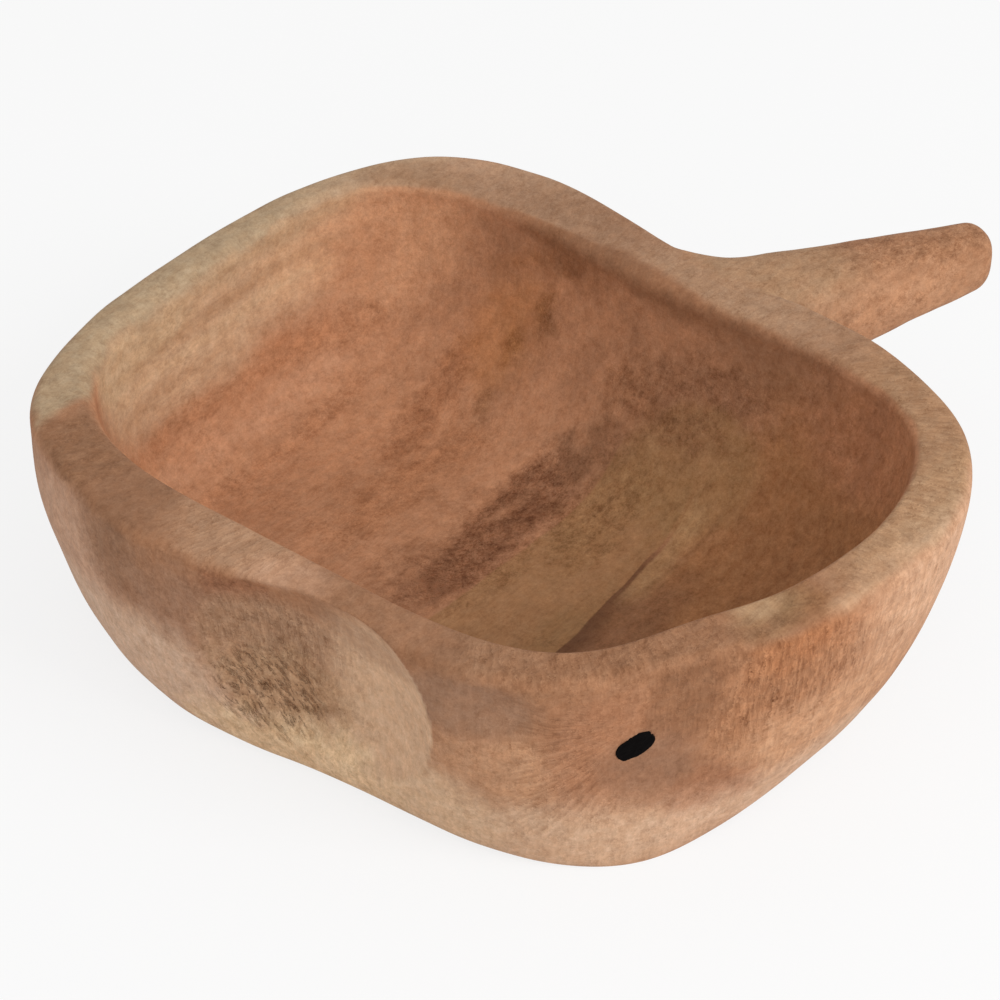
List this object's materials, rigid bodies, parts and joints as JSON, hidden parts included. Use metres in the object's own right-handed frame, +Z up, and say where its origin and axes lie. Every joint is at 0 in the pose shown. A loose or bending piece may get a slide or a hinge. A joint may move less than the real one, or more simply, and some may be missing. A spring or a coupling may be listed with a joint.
{
  "type": "carved wooden bowl",
  "caption": "Wide hand-carved wooden bowl with an apple outline: flat rim, deep rounded hollow, leaning stem on one side and a carved scoop at the blossom end.",
  "frame": {"origin": "middle of the flat foot that the bowl rests on", "axes": "+Z up out of the bowl, +X along the apple from its blossom end to its stem, +Y to the left as seen from the blossom end"},
  "size_m": [0.3211, 0.298, 0.082],
  "materials": {
    "bowl_wood": "streaky reddish tan hardwood, tooled and unvarnished",
    "stem_wood": "pinkish tan hardwood, smoothed and unvarnished",
    "dowel_wood": "pale plain hardwood",
    "knot_wood": "dead black knot, rough"
  },
  "bodies": {
    "root": {"bowl_body": "bowl_wood", "stem": "stem_wood", "stem_dowel": "dowel_wood", "knot_plug": "knot_wood"}
  },
  "joints": []
}
